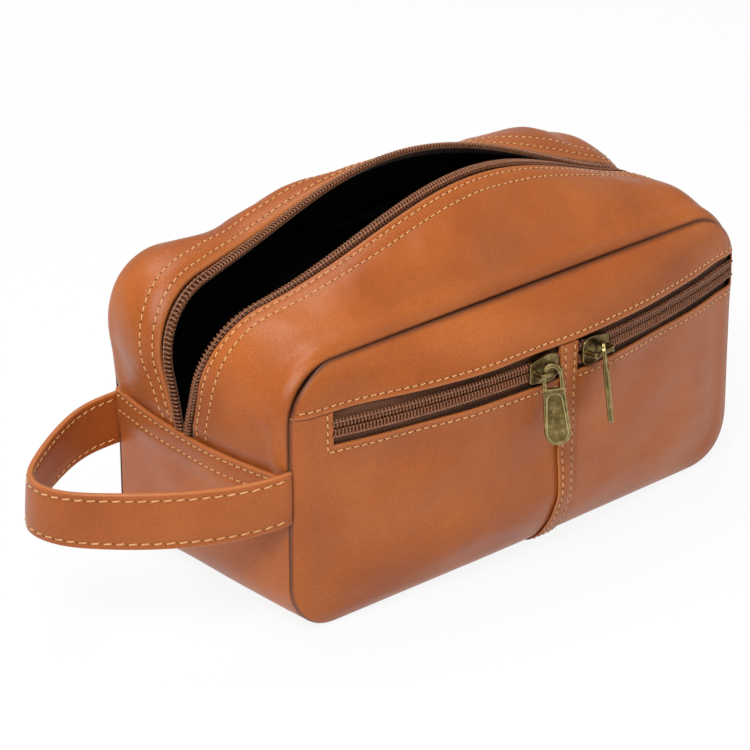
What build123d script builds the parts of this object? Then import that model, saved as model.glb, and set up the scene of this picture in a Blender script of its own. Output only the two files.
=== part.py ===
from build123d import *
import math
import os

# Leather toiletry bag. Millimetres, +X along the bag, -Y its front, +Z up, underside at z = 0.

# The body
bag_length = 260.0
bag_depth = 115.0
bag_height = 122.0
corner_radius = 24.0
leather = 1.4
lining = 0.5
layer_gap = 0.05
cloth_gap = 0.15
front_bulge = 20.0
back_bulge = 9.0
band_top = 75.0
band_height = 12.0
band_raise = 1.2
binding_width = 5.0
binding_thickness = 1.5
front_lining_slack = 9.0
back_lining_slack = 5.0

# The mouth, open as it is shown
mouth_rise = 40.0
mouth_gap = 18.0
mouth_shift = 5.0
lip_swell = 4.0
mouth_play = 1.8

# The zips, one size for all three
coil_width = 4.0
coil_front = 0.8
row_gap = 0.15
tape_thickness = 0.5
tape_start = 3.4
tape_width = 11.0
lip_setback = 8.0

# The sliders and pulls
slider_length = 16.4
slider_width = 13.0
slider_tail = 9.4
plate_thickness = 1.3
plate_gap = 0.3
neck_width = 3.4
bridge_reach = 4.6
bridge_leg = 2.0
bridge_height = 4.7
bar_width = 2.0
bar_thickness = 1.6
bar_rounding = 0.5
pull_length = 36.5
pull_top_width = 8.8
pull_bottom_width = 11.4
pull_thickness = 2.4
pull_head_thickness = 1.6
pull_window_width = 6.2
pull_window_length = 9.4
pull_wire = 1.7
pull_rim = 1.2
pull_recess = 0.6
pull_play = 1.8
pull_clearance = 0.3
pull_lean = 9.0
slider_above_band = 0.8

# The pocket zips and the strip between them
window_height = 15.0
zip_height = 94.0
strip_width = 10.0
strip_centre = 8.0
left_window_end = -111.0
right_window_end = 118.0
left_slider_x = -7.5
right_slider_x = 23.5
left_pull_twist = 50.0
right_pull_twist = -47.0
pocket_floor = 24.0
pocket_depth = 5.0

# The handle
strap_width = 25.0
strap_thickness = 3.0
strap_clearance = 0.4
strap_centre = band_top - strap_width / 2

os.makedirs("parts", exist_ok=True)

half_length = bag_length / 2
half_depth = bag_depth / 2
main_slider_height = band_top + slider_above_band + slider_length / 2
mouth_closed_at = main_slider_height + slider_length / 2 + mouth_play
side_run = bag_height - corner_radius - band_top
corner_run = corner_radius * math.pi / 2
top_run = bag_length - 2 * corner_radius
path_length = 2 * side_run + 2 * corner_run + top_run
closed_run = path_length - (mouth_closed_at - band_top)
window_top = zip_height + window_height / 2
window_bottom = zip_height - window_height / 2
left_slider_end = strip_centre - strip_width / 2
right_slider_end = strip_centre + strip_width / 2
swell_foot = 34.0
swell_head = window_top
beyond = 200.0


def keep(shape, name):
    export_step(shape, "parts/" + name + ".step")
    print(name, len(shape.solids()), round(shape.volume))


# The body's outline in the XZ plane, drawn inset by a distance, and pushed along Y
def outline(inset):
    width = bag_length - 2 * inset
    height = bag_height - 2 * inset
    flat = RectangleRounded(width, height, corner_radius - inset)
    return Plane.XZ * Pos(0, bag_height / 2) * flat


def block(face, start, end):
    return extrude(Pos(0, start, 0) * face, amount=end - start, dir=(0, 1, 0))


def window(x_from, x_to, z_from, z_to, round_by=0.0):
    width = x_to - x_from
    height = z_to - z_from
    flat = RectangleRounded(width, height, round_by) if round_by else Rectangle(width, height)
    return Plane.XZ * Pos((x_from + x_to) / 2, (z_from + z_to) / 2) * flat


# How far the filled bag pushes a big panel out: one circle in plan, flat in height between
# the foot and the zip, and rounded off below and above
def swell(z):
    foot = max(0.0, (swell_foot - z) / swell_foot)
    head = max(0.0, (z - swell_head) / (bag_height - swell_head))
    return 1 - foot**2.5 - head**2.2


def plan_radius(bulge):
    return (half_length**2 + bulge**2) / (2 * bulge)


def bulge_at(x, z, bulge):
    radius = plan_radius(bulge)
    return (math.sqrt(radius**2 - x**2) - (radius - bulge)) * swell(z)


def swelled_face(bulge, start, side):
    rows = []
    for i in range(15):
        x = -half_length - 1 + (bag_length + 2) * i / 14
        row = []
        for j in range(19):
            z = -1 + (bag_height + 2) * j / 18
            row.append((x, side * (start + bulge_at(x, z, bulge)), z))
        rows.append(row)
    return Face.make_surface_from_array_of_points(rows, tol=0.01)


# A sheet cut to an outline from a swelled face, with its thickness going into the bag
def sheet(region, bulge, start, thickness, side=-1):
    face = swelled_face(bulge, start, side)
    slab = extrude(face, amount=thickness, dir=(0, -side, 0))
    return slab & block(region, -150, 150)


# The rim path of the top panels: from the left band over the top to the right band
def rim_point(run):
    if run <= side_run:
        return (-half_length, band_top + run), (-1.0, 0.0)
    if run <= side_run + corner_run:
        turn = (run - side_run) / corner_radius
        way = (-math.cos(turn), math.sin(turn))
        centre = (-half_length + corner_radius, bag_height - corner_radius)
    elif run <= side_run + corner_run + top_run:
        along = run - side_run - corner_run
        return (-half_length + corner_radius + along, bag_height), (0.0, 1.0)
    elif run <= side_run + 2 * corner_run + top_run:
        turn = (run - side_run - corner_run - top_run) / corner_radius
        way = (math.sin(turn), math.cos(turn))
        centre = (half_length - corner_radius, bag_height - corner_radius)
    else:
        return (half_length, band_top + path_length - run), (1.0, 0.0)
    return (centre[0] + corner_radius * way[0], centre[1] + corner_radius * way[1]), way


# The zip's edge at one place on the rim: how far it stands out, and how far from the middle
def lip(run, side):
    share = min(max(run / closed_run, 0.0), 1.0)
    rise = mouth_rise * math.sin(math.pi * share**1.1) ** 2
    peak = 0.375
    opening = mouth_gap * (share / peak) ** 1.2 * ((1 - share) / (1 - peak)) ** 2
    middle = mouth_shift * (1 - share)
    return middle + side * (row_gap + opening), rise


# A point of a top panel's cross-section: a distance back from the zip's edge, and a depth
def strip_point(run, side, back, depth):
    edge_y, edge_out = lip(run, side)
    seam_y = side * (half_depth - leather)
    across = edge_y - seam_y
    chord = math.hypot(across, edge_out)
    part = 1 - back / chord
    way = (across / chord, edge_out / chord)
    up = (-way[1] * math.copysign(1, across), abs(way[0]))
    share = min(run / closed_run, 1.0)
    height = lip_swell * (1 - share**8) * (1 - (1 - share) ** 12)
    arch = height * 4 * part * (1 - part)
    slope = height * 4 * (1 - 2 * part) / chord
    tilt = math.hypot(1, slope)
    normal = ((up[0] - slope * way[0]) / tilt, (up[1] - slope * way[1]) / tilt)
    y = seam_y + way[0] * part * chord + up[0] * arch + normal[0] * depth
    out = way[1] * part * chord + up[1] * arch + normal[1] * depth
    base, outward = rim_point(run)
    return (base[0] + outward[0] * out, y, base[1] + outward[1] * out)


def rim_chord(run, side):
    edge_y, edge_out = lip(run, side)
    return math.hypot(edge_y - side * (half_depth - leather), edge_out)


def rim_stations():
    stations = [0.0, side_run / 2]
    stations += [side_run + corner_run * i / 3 for i in range(3)]
    stations += [side_run + corner_run + top_run * i / 7 for i in range(7)]
    stations += [side_run + corner_run + top_run + corner_run * i / 3 for i in range(4)]
    stations += [closed_run, (closed_run + path_length) / 2, path_length]
    return stations


# A top panel lofted along the rim, from a distance back from the zip's edge to the seam
def rim_panel(side, back_from, seam_trim, depth_from, depth_to):
    sections = []
    for run in rim_stations():
        far = rim_chord(run, side) - seam_trim
        backs = [back_from + (far - back_from) * i / 4 for i in range(5)]
        upper = [strip_point(run, side, back, depth_to) for back in backs]
        lower = [strip_point(run, side, back, depth_from) for back in backs]
        edges = [
            Edge.make_spline(upper),
            Edge.make_line(upper[-1], lower[-1]),
            Edge.make_spline(lower[::-1]),
            Edge.make_line(lower[0], upper[0]),
        ]
        sections.append(Wire(edges))
    return Solid.make_loft(sections, ruled=False)


# A narrow strip along the rim, such as a tape, ruled between its four long edges
def rim_strip(side, back_from, back_to, depth_from, depth_to):
    corners = [(back_from, depth_to), (back_to, depth_to), (back_to, depth_from), (back_from, depth_from)]
    rails = []
    for back, depth in corners:
        rails.append(Edge.make_spline([strip_point(run, side, back, depth) for run in rim_stations()]))
    faces = []
    for i in range(4):
        faces.append(Face.make_surface_from_curves(rails[i], rails[(i + 1) % 4]))
    for end in (0, 1):
        points = [rail @ end for rail in rails]
        faces.append(Face(Wire.make_polygon(points, close=True)))
    return Solid(Shell(faces))


# The slider lies flat with its chain along X, wide end to +X, and its outside towards -Y
def shield(length, wide, tail, round_by):
    points = [
        (-length / 2, tail / 2),
        (length * 0.1, wide / 2),
        (length / 2, wide / 2),
        (length / 2, -wide / 2),
        (length * 0.1, -wide / 2),
        (-length / 2, -tail / 2),
    ]
    flat = make_face(Polyline(*points, close=True))
    corners = flat.vertices().sort_by(Axis.X)[-2:]
    flat = fillet(corners, round_by)
    return fillet(flat.vertices().sort_by(Axis.X)[:2], 1.5)


def neck(extra=0.0):
    return Pos(slider_length / 2 - 2.6, 0) * Ellipse(2.4 + extra, neck_width / 2 + extra)


def slider():
    top_face = coil_front + plate_gap
    depth = top_face + 2.4
    plate = Plane.XZ * shield(slider_length, slider_width, slider_tail, 4.5)
    top = block(plate, -top_face - plate_thickness, -top_face)
    top = fillet(top.faces().sort_by(Axis.Y)[0].edges(), 0.5)
    low = block(plate, depth - top_face, depth - top_face + 1.0)
    post = block(Plane.XZ * neck(), -top_face - 0.4, depth - top_face + 0.4)
    inner = Plane.XZ * shield(slider_length + 4, slider_width - 2.2, slider_tail - 2.0, 3.4)
    flange = block(plate, -top_face - 0.4, leather - 0.25) - block(inner, -5, 5)
    flange = flange & block(window(-6.6, 4.8, -9, 9), -5, 5)
    body = top + low + post + flange
    outside = -top_face - plate_thickness
    bar_out = outside - bridge_height
    reach = bridge_reach + bridge_leg
    side_view = [
        (-reach - 0.6, outside + 0.4),
        (-reach + 0.6, bar_out - bar_thickness / 2),
        (reach - 0.6, bar_out - bar_thickness / 2),
        (reach + 0.6, outside + 0.4),
        (bridge_reach, outside + 0.4),
        (bridge_reach, bar_out + bar_thickness / 2),
        (-bridge_reach, bar_out + bar_thickness / 2),
        (-bridge_reach, outside + 0.4),
    ]
    arch = make_face(Polyline(*side_view, close=True))
    arch = extrude(Pos(0, 0, -bar_width / 2) * arch, amount=bar_width, dir=(0, 0, 1))
    outer = arch.edges().filter_by(Axis.Z).sort_by(Axis.Y)[:2]
    arch = fillet(outer, 1.2)
    section = Plane.YZ * Pos(bar_out, 0) * RectangleRounded(bar_thickness, bar_width, bar_rounding)
    blank = Plane.YZ * Pos(bar_out, 0) * Rectangle(bar_thickness, bar_width)
    corners = extrude(Pos(-bridge_reach, 0, 0) * (blank - section), amount=2 * bridge_reach, dir=(1, 0, 0))
    return body + (arch - corners)


bar_out = coil_front + plate_gap + plate_thickness + bridge_height


def tag(top_radius, top_centre, end_radius, end_centre):
    edges = [
        Line((-top_radius, top_centre), (-end_radius, end_centre)),
        ThreePointArc((-end_radius, end_centre), (0, end_centre - end_radius), (end_radius, end_centre)),
        Line((end_radius, end_centre), (top_radius, top_centre)),
        ThreePointArc((top_radius, top_centre), (0, top_centre + top_radius), (-top_radius, top_centre)),
    ]
    return make_face(Curve() + edges)


# The pull hangs along -Z with its plate across X, its thickness along Y, its top wire at z = 0
def bevelled(flat, thickness, cut):
    body = block(Plane.XZ * flat, -thickness / 2, thickness / 2)
    body = chamfer(body.faces().sort_by(Axis.Y)[0].outer_wire().edges(), cut)
    return chamfer(body.faces().sort_by(Axis.Y)[-1].outer_wire().edges(), cut)


def pull():
    top_radius = pull_top_width / 2
    end_radius = pull_bottom_width / 2
    top_centre = pull_wire / 2 - top_radius
    end_centre = pull_wire / 2 - pull_length + end_radius
    flat = tag(top_radius, top_centre, end_radius, end_centre)
    hole_radius = pull_window_width / 2
    hole_top = -pull_wire / 2
    hole_foot = hole_top - pull_window_length
    hole = Pos(0, hole_top - hole_radius) * Circle(hole_radius)
    straight = pull_window_length - hole_radius
    hole += Pos(0, hole_foot + straight / 2) * Rectangle(pull_window_width, straight)
    upper = Pos(0, hole_foot + pull_length / 2) * Rectangle(2 * pull_bottom_width, pull_length)
    recess_top = hole_foot - pull_rim - top_radius
    panel = tag(top_radius - pull_rim + 0.2, recess_top, end_radius - pull_rim, end_centre)
    panel &= Pos(0, hole_foot - pull_rim - pull_length / 2) * Rectangle(2 * pull_bottom_width, pull_length)
    head = bevelled(flat, pull_head_thickness, 0.3) - block(Plane.XZ * hole, -5, 5)
    body = bevelled(flat - upper, pull_thickness, 0.4)
    cut = Plane.XZ * panel
    body -= block(cut, -pull_thickness, -pull_thickness / 2 + pull_recess)
    body -= block(cut, pull_thickness / 2 - pull_recess, pull_thickness)
    head -= block(cut, -pull_thickness, -pull_thickness / 2 + pull_recess)
    head -= block(cut, pull_thickness / 2 - pull_recess, pull_thickness)
    return body + head


# Placing a pocket zip's parts round the vertical axis of its arc
zip_radius = plan_radius(front_bulge)
zip_axis_y = -half_depth - front_bulge + zip_radius


def on_pocket_zip(shape, x):
    turn = math.degrees(math.asin(x / zip_radius))
    placed = Pos(0, -zip_radius, 0) * shape
    return Pos(0, zip_axis_y, zip_height) * Rot(0, 0, turn) * placed


def pocket_zip(name, slider_x, wide_end, x_from, x_to, twist):
    neck_x = slider_x + wide_end * (slider_length / 2 - 2.6)
    gap = Plane.XZ * Pos(neck_x, zip_height) * Ellipse(2.8, neck_width / 2 + 0.4)
    for part, way in (("upper", 1), ("lower", -1)):
        near = zip_height + way * row_gap
        far = zip_height + way * (row_gap + coil_width)
        row = window(x_from + 1.1, x_to - 1.1, min(near, far), max(near, far)) - gap
        start = half_depth + coil_front
        coil = sheet(row, front_bulge, start, coil_front + leather)
        keep(coil, name + "_zip_" + part + "_coil")
        near = zip_height + way * tape_start
        far = zip_height + way * (tape_start + tape_width)
        tape = window(x_from, x_to, min(near, far), max(near, far))
        start = half_depth - leather - cloth_gap
        cloth = sheet(tape, front_bulge, start, tape_thickness)
        keep(cloth, name + "_zip_" + part + "_tape")
    body = slider() if wide_end > 0 else Rot(0, 180, 0) * slider()
    keep(on_pocket_zip(body, slider_x), name + "_zip_slider")
    ring = Pos(0, 0, bar_width / 2 + pull_play + pull_wire / 2) * pull()
    hung = Rot(-pull_lean, 0, 0) * Rot(0, 0, 90 + twist) * ring
    keep(on_pocket_zip(Pos(0, -bar_out, 0) * hung, slider_x), name + "_zip_pull")


# Front panels, with the two zip windows and the strip between them
whole = outline(0)
above = window(-beyond, beyond, window_top, beyond)
below = window(-beyond, beyond, -50, window_top)
left_part = window(-beyond, strip_centre, -50, window_top)
right_part = window(strip_centre, beyond, -50, window_top)
left_hole = window(left_window_end, left_slider_end, window_bottom, window_top)
right_hole = window(right_slider_end, right_window_end, window_bottom, window_top)
panel_slab = sheet(whole, front_bulge, half_depth, leather)
keep(panel_slab & block(above, -150, 150), "front_upper_panel")
left_panel = panel_slab & block(left_part, -150, 150)
keep(left_panel - block(left_hole, -150, 150), "left_pocket_panel")
right_panel = panel_slab & block(right_part, -150, 150)
keep(right_panel - block(right_hole, -150, 150), "right_pocket_panel")
strip_region = window(left_slider_end, right_slider_end, -5, window_top - layer_gap) & whole
strip = sheet(strip_region, front_bulge, half_depth + leather + layer_gap, leather)
keep(strip, "centre_strip")
keep(sheet(whole, back_bulge, half_depth, leather, side=1), "back_panel")

# The base gusset: left end, underside and right end in one piece, with its turned top edges
shell = outline(0) - outline(leather)
shell = shell & window(-beyond, beyond, -50, band_top)
gusset = block(shell, -half_depth + leather, half_depth - leather)
for side in (-1, 1):
    near = side * half_length
    far = side * (half_length + band_raise)
    band = window(min(near, far), max(near, far), band_top - band_height, band_top)
    gusset += block(band, -half_depth + leather, half_depth - leather)
keep(gusset, "base_gusset")
liner = outline(leather) - outline(leather + lining)
liner = liner & window(-beyond, beyond, -50, band_top - 1)
keep(block(liner, -half_depth + leather + 1, half_depth - leather - 1), "gusset_lining")

# Bindings round the two big seams, inside, and the linings sewn into them
ring_inset = leather + lining
ring = outline(ring_inset) - outline(ring_inset + binding_thickness)
lining_inset = ring_inset + binding_thickness
lining_start = half_depth - leather - 2
for name, side in (("front", -1), ("back", 1)):
    near = side * (half_depth - leather)
    far = side * (half_depth - leather - binding_width)
    keep(block(ring, min(near, far), max(near, far)), name + "_seam_binding")
keep(sheet(outline(lining_inset), front_bulge - front_lining_slack, lining_start, lining), "front_lining")
keep(sheet(outline(lining_inset), back_bulge - back_lining_slack, lining_start, lining, side=1), "back_lining")

# Top panels with their linings, and the main zip along their edges
main_neck_z = main_slider_height + slider_length / 2 - 2.6
main_gap = Plane.YZ * Pos(0, main_neck_z) * Ellipse(neck_width / 2 + 0.4, 2.8)
main_gap = extrude(Pos(half_length - 10, 0, 0) * main_gap, amount=20, dir=(1, 0, 0))
for name, side in (("front", -1), ("back", 1)):
    under = -leather - cloth_gap
    keep(rim_panel(side, lip_setback, 0.0, -leather, 0.0), name + "_top_panel")
    keep(rim_panel(side, tape_start + tape_width + 0.6, binding_width + 0.4, under - lining, under), name + "_top_lining")
    tape = rim_strip(side, tape_start, tape_start + tape_width, under - tape_thickness, under)
    keep(tape, "main_zip_" + name + "_tape")
    coil = rim_strip(side, 0.0, coil_width, -leather, coil_front)
    keep(coil - main_gap, "main_zip_" + name + "_coil")
stand = Pos(half_length, 0, main_slider_height)
main_slider = stand * Rot(0, 0, 90) * Rot(0, -90, 0) * slider()
keep(main_slider, "main_zip_slider")
wire_out = bar_out - bridge_height + (bridge_height - bar_thickness / 2) / 2
wire_reach = math.hypot(pull_head_thickness / 2, pull_wire / 2)
wire_z = main_slider_height - bridge_reach + pull_clearance + wire_reach
keep(Pos(half_length + wire_out, 0, wire_z) * Rot(0, 0, 90) * pull(), "main_zip_pull")


# Pocket bags hung behind the windows
def pocket_bag(x_from, x_to):
    low = pocket_floor
    high = window_top + 5
    far_start = half_depth - leather - 1.2
    far_bulge = front_bulge - pocket_depth
    near_start = half_depth - leather - tape_thickness - 2 * cloth_gap
    near = extrude(swelled_face(front_bulge, near_start, -1), amount=20, dir=(0, 1, 0))
    nearer = extrude(swelled_face(front_bulge, near_start - lining, -1), amount=20, dir=(0, 1, 0))
    far = extrude(swelled_face(far_bulge, far_start - 0.9, -1), amount=40, dir=(0, 1, 0))
    farther = extrude(swelled_face(far_bulge, far_start - 0.9 - lining, -1), amount=40, dir=(0, 1, 0))
    outer = block(window(x_from, x_to, low, high), -150, 150)
    inner = block(window(x_from + lining, x_to - lining, low + lining, high + 1), -150, 150)
    mouth = block(window(x_from - 1, x_to + 1, window_bottom - 1, high + 1), -150, 150)
    shell = (near - farther) & outer
    hollow = (nearer - far) & inner
    front_leaf = (near - nearer) & mouth
    return shell - hollow - front_leaf


keep(pocket_bag(left_window_end - 2, left_slider_end + 2), "left_pocket_bag")
keep(pocket_bag(right_slider_end - 2, right_window_end + 2), "right_pocket_bag")

pocket_zip("left", left_slider_x, 1, left_window_end - 1, left_slider_end + 1, left_pull_twist)
pocket_zip("right", right_slider_x, -1, right_slider_end - 1, right_window_end + 1, right_pull_twist)


# The handle: a flat strap looped in plan, its sewn ends rounded about the line they turn on
def handle():
    way = [(0, 0), (22, 2.5), (48, 7), (84, 24), (97, 48), (95, 73), (74, 96), (31, 112), (14, 115), (0, 115)]
    root = -half_length - band_raise - strap_clearance
    middle = [(root - x, -half_depth + y) for x, y in way]
    line = Spline(*middle)
    outer = []
    inner = []
    for i in range(25):
        place = line @ (i / 24)
        along = line % (i / 24)
        side = Vector(along.Y, -along.X, 0) * (strap_thickness / 2)
        outer.append(place + side)
        inner.append(place - side)
    edges = [
        Spline(*outer),
        Line(outer[-1], inner[-1]),
        Spline(*inner[::-1]),
        Line(inner[0], outer[0]),
    ]
    flat = make_face(Curve() + edges)
    strap = extrude(Pos(0, 0, strap_centre - strap_width / 2) * flat, amount=strap_width, dir=(0, 0, 1))
    hinge_x = root - strap_width / 2
    ends = Plane.XZ * Pos(hinge_x, strap_centre) * Circle(strap_width / 2)
    keep_in = block(ends, -150, 150) + block(window(-400, hinge_x, 0, 150), -150, 150)
    return strap & keep_in


keep(handle(), "handle_strap")
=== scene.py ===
import bpy
import math
import numpy as np
from mathutils import Matrix, Vector


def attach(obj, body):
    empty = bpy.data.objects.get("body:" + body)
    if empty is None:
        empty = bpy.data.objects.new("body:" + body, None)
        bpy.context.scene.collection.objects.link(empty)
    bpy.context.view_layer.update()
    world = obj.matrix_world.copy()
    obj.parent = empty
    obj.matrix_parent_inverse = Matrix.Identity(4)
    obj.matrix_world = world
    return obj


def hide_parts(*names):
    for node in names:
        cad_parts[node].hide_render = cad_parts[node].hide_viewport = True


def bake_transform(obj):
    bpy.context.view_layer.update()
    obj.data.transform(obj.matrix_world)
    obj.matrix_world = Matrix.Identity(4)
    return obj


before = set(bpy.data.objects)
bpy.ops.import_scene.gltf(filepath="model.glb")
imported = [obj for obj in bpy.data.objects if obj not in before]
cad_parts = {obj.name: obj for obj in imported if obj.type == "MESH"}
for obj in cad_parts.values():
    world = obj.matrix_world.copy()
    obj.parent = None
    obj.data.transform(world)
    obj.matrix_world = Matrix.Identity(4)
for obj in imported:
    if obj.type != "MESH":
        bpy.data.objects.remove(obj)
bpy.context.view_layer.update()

# The bag's main sizes in metres, the same as the solids have
bag = {
    "length": 0.260, "depth": 0.115, "height": 0.122, "corner": 0.024,
    "frontBulge": 0.020, "backBulge": 0.009, "bandTop": 0.075,
    "seamRoll": 0.0017, "leather": 0.0014,
    "zipHeight": 0.094, "windowHeight": 0.015, "stripCentre": 0.008, "stripWidth": 0.010,
    "leftWindow": -0.111, "rightWindow": 0.1284, "swellFoot": 0.034,
}
mouth = {"rise": 0.040, "gap": 0.018, "shift": 0.005, "swell": 0.004, "closedAt": 0.094, "setback": 0.0051}
end = {"leftSwell": 0.0062, "rightSwell": 0.0030, "fade": 0.032,
       "humpHeights": (0, 0.012, 0.05, 0.08, 0.11, 0.15), "humpShares": (0, 0.3, 0.85, 1, 0.6, 0),
       "backCorner": (-0.120, 0.050, 0.116), "cornerReach": 0.036, "cornerOut": 0.0040, "cornerUp": 0.0095}
halfLength = bag["length"] / 2
halfDepth = bag["depth"] / 2
windowTop = bag["zipHeight"] + bag["windowHeight"] / 2
windowFoot = bag["zipHeight"] - bag["windowHeight"] / 2
stripLeft = bag["stripCentre"] - bag["stripWidth"] / 2
stripRight = bag["stripCentre"] + bag["stripWidth"] / 2


# shared mesh helpers
def turnedEdge(distance, radius):
    # depth below the surface of a quarter-round edge: r - sqrt(r^2 - (r - d)^2), nought past r
    t = np.clip(1 - distance / radius, 0, 1)
    return radius * (1 - np.sqrt(np.clip(1 - t * t, 0, 1)))


def bell(distance, centre, width):
    # 1 at the centre, falling away on both sides as exp(-((d - c) / w)^2)
    return np.exp(-((distance - centre) / width) ** 2)


def seamShade(inside, reach):
    # painted shade in a seam's groove, a dark line: 1 at the edge, gone past the reach
    return np.clip(1 - inside / reach, 0, 1) ** 1.2


def inSection(out):
    # an outward direction in x and z, made one in space
    return np.stack([out[..., 0], 0 * out[..., 0], out[..., 1]], -1)


def softNoise(points, size, seed, octaves=3):
    # smooth bumps between about -1 and 1: sines along fixed random directions, summed over octaves
    rng = np.random.default_rng(seed)
    total = np.zeros(points.shape[:-1])
    weight = 0.0
    for octave in range(octaves):
        for ray in range(5):
            way = rng.normal(size=3)
            way *= 2 * np.pi / (size * np.linalg.norm(way)) * 2 ** octave * rng.uniform(0.7, 1.3)
            total += np.sin(points @ way + rng.uniform(0, 6.28)) / 2 ** octave
        weight += 2.2 / 2 ** octave
    return total / weight


def crease(points, start, end, width, reach=1.0):
    # a fold line: a bell across the line from start to end, fading out at both ends
    a, b = np.array(start), np.array(end)
    along = b - a
    part = ((points - a) @ along) / (along @ along)
    near = a + np.clip(part, 0, 1)[..., None] * along
    away = np.linalg.norm(points - near, axis=-1)
    fade = np.clip(1 - np.abs(2 * part - 1) ** 2 / reach, 0, 1)
    return np.exp(-(away / width) ** 2) * fade


def fullEnds(points):
    # the left end swells outwards: a parabola across, a soft hump in height, fading along the bag
    across = np.clip(1 - (points[..., 1] / halfDepth) ** 2, 0, 1)
    upright = np.interp(points[..., 2], end["humpHeights"], end["humpShares"])
    fade = np.exp(-np.clip((points[..., 0] + halfLength) / end["fade"], 0, None) ** 2)
    moved = points.copy()
    moved[..., 0] -= end["leftSwell"] * across * upright * fade
    # the stuffed back corner stands up and out
    corner = np.exp(-np.sum(((points - np.array(end["backCorner"])) / end["cornerReach"]) ** 2, -1))
    moved[..., 0] -= end["cornerOut"] * corner
    moved[..., 2] += end["cornerUp"] * corner
    return moved


def gridNormals(points, wrapU=False, wrapV=False):
    # the cross product of the two grid directions, made one long
    def slope(values, axis, wrap):
        if wrap:
            return (np.roll(values, -1, axis) - np.roll(values, 1, axis)) / 2
        return np.gradient(values, axis=axis)
    normal = np.cross(slope(points, 0, wrapU), slope(points, 1, wrapV))
    size = np.linalg.norm(normal, axis=-1, keepdims=True)
    return normal / np.maximum(size, 1e-12)


def outwardNormals(points, out, each=False, wrapV=False):
    # grid normals turned to point along out, all together or each by itself
    normal = gridNormals(points, wrapV=wrapV)
    agree = np.sum(normal * out, -1, keepdims=True) if each else np.sum(normal * out)
    return normal * np.sign(agree)


def gridFaces(rows, cols, wrapU=False, wrapV=False, keep=None):
    index = np.arange(rows * cols).reshape(rows, cols)
    if wrapU:
        index = np.concatenate([index, index[:1]], 0)
    if wrapV:
        index = np.concatenate([index, index[:, :1]], 1)
    quads = np.stack([index[:-1, :-1], index[1:, :-1], index[1:, 1:], index[:-1, 1:]], -1)
    if keep is not None:
        quads = quads[keep]
    return quads.reshape(-1, 4)


# each material's slot on the shared part
slots = {"tanHide": "tan_leather", "strapHide": "tan_leather", "goldThread": "tan_leather",
         "holeShade": "tan_leather", "zipTape": "zip_tape", "coilNylon": "zip_coil", "blackLining": "lining"}


def meshObject(name, verts, quads, material, body="bag", replaced=(), values=None, uv=None):
    mesh = bpy.data.meshes.new(name)
    used = np.unique(quads)
    remap = np.full(len(verts), -1)
    remap[used] = np.arange(len(used))
    verts, quads = verts[used], remap[quads]
    mesh.vertices.add(len(verts))
    mesh.vertices.foreach_set("co", verts.astype(np.float32).ravel())
    mesh.loops.add(quads.size)
    mesh.loops.foreach_set("vertex_index", quads.astype(np.int32).ravel())
    mesh.polygons.add(len(quads))
    mesh.polygons.foreach_set("loop_start", np.arange(0, quads.size, 4, dtype=np.int32))
    mesh.update(calc_edges=True)
    mesh.validate()
    mesh.polygons.foreach_set("use_smooth", np.ones(len(mesh.polygons), bool))
    for key, data in (values or {}).items():
        layer = mesh.attributes.new(key, "FLOAT", "POINT")
        layer.data.foreach_set("value", data.ravel()[used].astype(np.float32))
    if uv is not None:
        layer = mesh.uv_layers.new(name="UVMap")
        layer.data.foreach_set("uv", uv.reshape(-1, 2)[used][quads.ravel()].astype(np.float32).ravel())
    mesh.materials.append(material)
    piece = bpy.data.objects.new(name, mesh)
    bpy.context.scene.collection.objects.link(piece)
    if body == "strapRoot":
        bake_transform(piece)
    else:
        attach(piece, body)
    if replaced:
        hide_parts(*replaced)
    return piece


def sheetPiece(name, points, out, material, thickness=0.0, replaced=(), keep=None,
               wrapU=False, wrapV=False, values=None, uv=None, body="bag"):
    # a grid made a mesh, its faces turned to point along out
    quads = gridFaces(points.shape[0], points.shape[1], wrapU, wrapV, keep)
    normal = gridNormals(points, wrapU, wrapV)
    if np.sum(normal * out) < 0:
        quads = quads[:, ::-1]
    piece = meshObject(name, points.reshape(-1, 3), quads, material, body, replaced, values, uv)
    if thickness:
        solid = piece.modifiers.new("thickness", "SOLIDIFY")
        solid.thickness = thickness
        solid.offset = -1
        if slots[material.name] == "tan_leather":
            piece.data.materials.append(blackLining)
            solid.material_offset = 1
    return piece


def lengthsAlong(points, axis):
    # running length along one direction of a grid
    step = np.linalg.norm(np.diff(points, axis=axis), axis=-1)
    pad = [(0, 0), (0, 0)]
    pad[axis] = (1, 0)
    return np.cumsum(np.pad(step, pad), axis=axis)


def trace(values, rowAt, colAt):
    # reads a grid at fractional places, linearly between its points
    r0 = np.clip(np.floor(rowAt).astype(int), 0, values.shape[0] - 2)
    c0 = np.clip(np.floor(colAt).astype(int), 0, values.shape[1] - 2)
    fr, fc = (rowAt - r0)[:, None], (colAt - c0)[:, None]
    return (values[r0, c0] * (1 - fr) * (1 - fc) + values[r0 + 1, c0] * fr * (1 - fc)
            + values[r0, c0 + 1] * (1 - fr) * fc + values[r0 + 1, c0 + 1] * fr * fc)


def placesIn(steps, at):
    # where values fall in a sorted list, as fractions of its steps
    return np.interp(at, steps, np.arange(len(steps)))


def evenly(path, pitch):
    # places along a path at an even pitch, returned as fractions of its point count
    run = np.concatenate([[0], np.cumsum(np.linalg.norm(np.diff(path, axis=0), axis=1))])
    count = max(2, int(round(run[-1] / pitch)))
    return np.interp((np.arange(count) + 0.5) / count * run[-1], run, np.arange(len(path))), run[-1] / count


# materials
def newMaterial(name):
    material = bpy.data.materials.new(name)
    material.use_nodes = True
    material.node_tree.nodes.clear()
    return material, material.node_tree


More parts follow.
